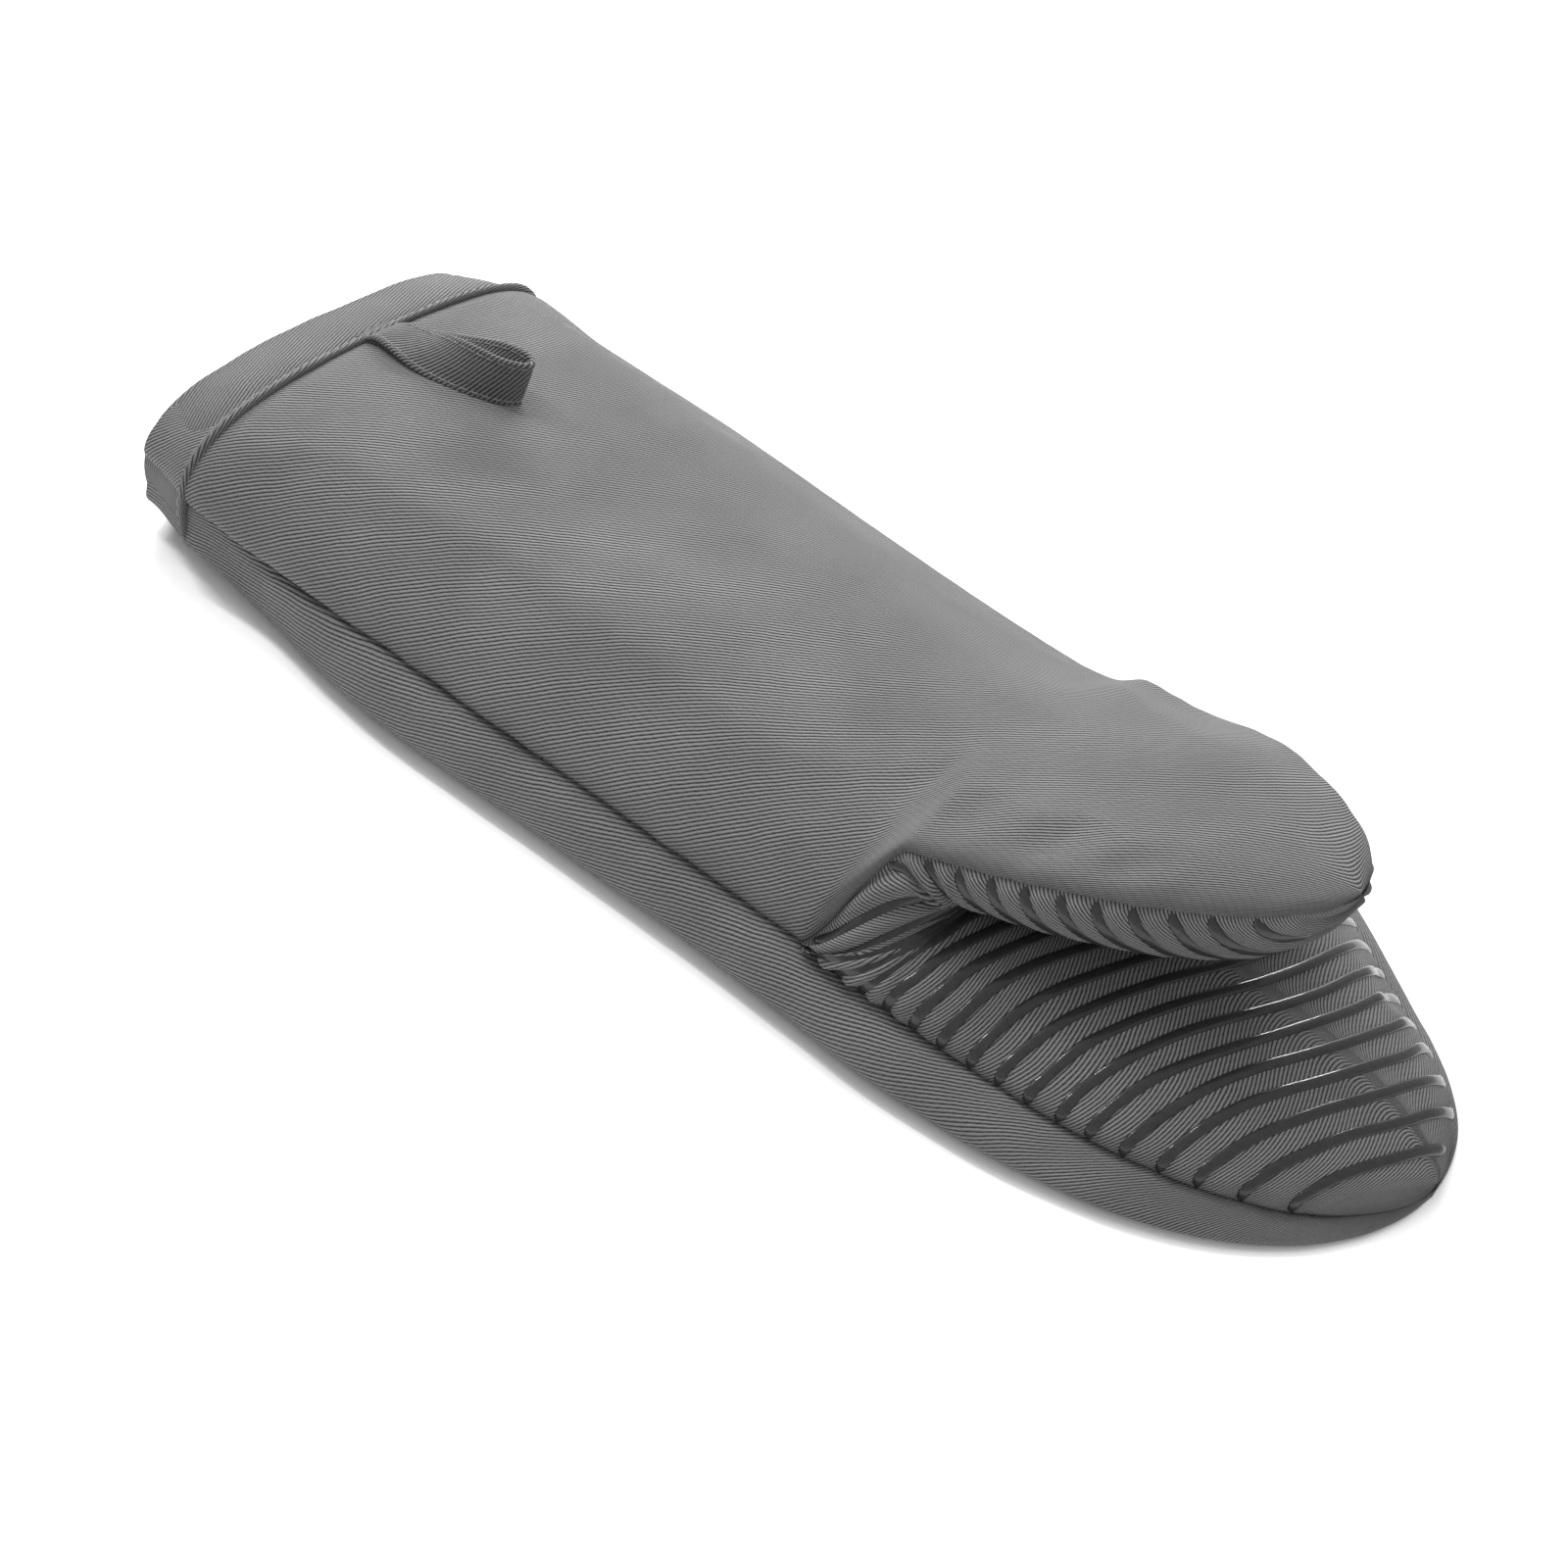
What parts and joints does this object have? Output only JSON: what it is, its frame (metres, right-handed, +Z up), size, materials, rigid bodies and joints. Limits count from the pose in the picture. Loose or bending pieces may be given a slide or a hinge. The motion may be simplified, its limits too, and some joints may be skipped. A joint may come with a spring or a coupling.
{
  "type": "oven mitt",
  "caption": "Long padded oven mitt with a thumb lobe over a finger lobe, a silicone-striped palm, a bound cuff and a hanging loop.",
  "frame": {"origin": "middle of the footprint, on the plane the mitt lies on", "axes": "+X from the cuff to the finger tip, +Y across the mitt, +Z up from the back of the hand to the thumb"},
  "size_m": [0.357, 0.156, 0.0652],
  "materials": {
    "twill": "matt grey cotton twill",
    "lining": "plain-woven cotton",
    "wadding": "needled cotton batting",
    "tape": "bias-cut twill tape",
    "silicone": "glossy dark silicone",
    "thread": "grey sewing thread"
  },
  "bodies": {
    "hand": {"cuff_binding": "tape", "binding_stitching": "thread", "thumb_side_panel": "twill", "thumb_side_wadding": "wadding", "thumb_side_lining": "lining", "back_panel": "twill", "back_wadding": "wadding", "back_lining": "lining", "palm_web": "twill", "palm_web_wadding": "wadding", "palm_web_lining": "lining", "palm_web_grips": "silicone"},
    "thumb": {"thumb_panel": "twill", "thumb_panel_wadding": "wadding", "thumb_panel_lining": "lining", "thumb_insert": "twill", "thumb_insert_wadding": "wadding", "thumb_insert_lining": "lining", "thumb_grips": "silicone"},
    "fingers": {"finger_back_panel": "twill", "finger_back_wadding": "wadding", "finger_back_lining": "lining", "finger_insert": "twill", "finger_insert_wadding": "wadding", "finger_insert_lining": "lining", "finger_grips": "silicone"},
    "loop": {"hanging_loop": "tape"}
  },
  "joints": [
    {"name": "thumb_open", "type": "hinge", "parent": "hand", "child": "thumb", "pos_m": [0.06365, 0, 0.05665], "axis": [0, -1, 0], "range_deg": [0, 55]},
    {"name": "finger_curl", "type": "hinge", "parent": "hand", "child": "fingers", "pos_m": [0.08365, 0, 0.02884], "axis": [0, -1, 0], "range_deg": [0, 10]},
    {"name": "loop_swing", "type": "hinge", "parent": "hand", "child": "loop", "pos_m": [-0.1571, 0, 0.05076], "axis": [0, -1, 0], "range_deg": [0, 140]}
  ]
}
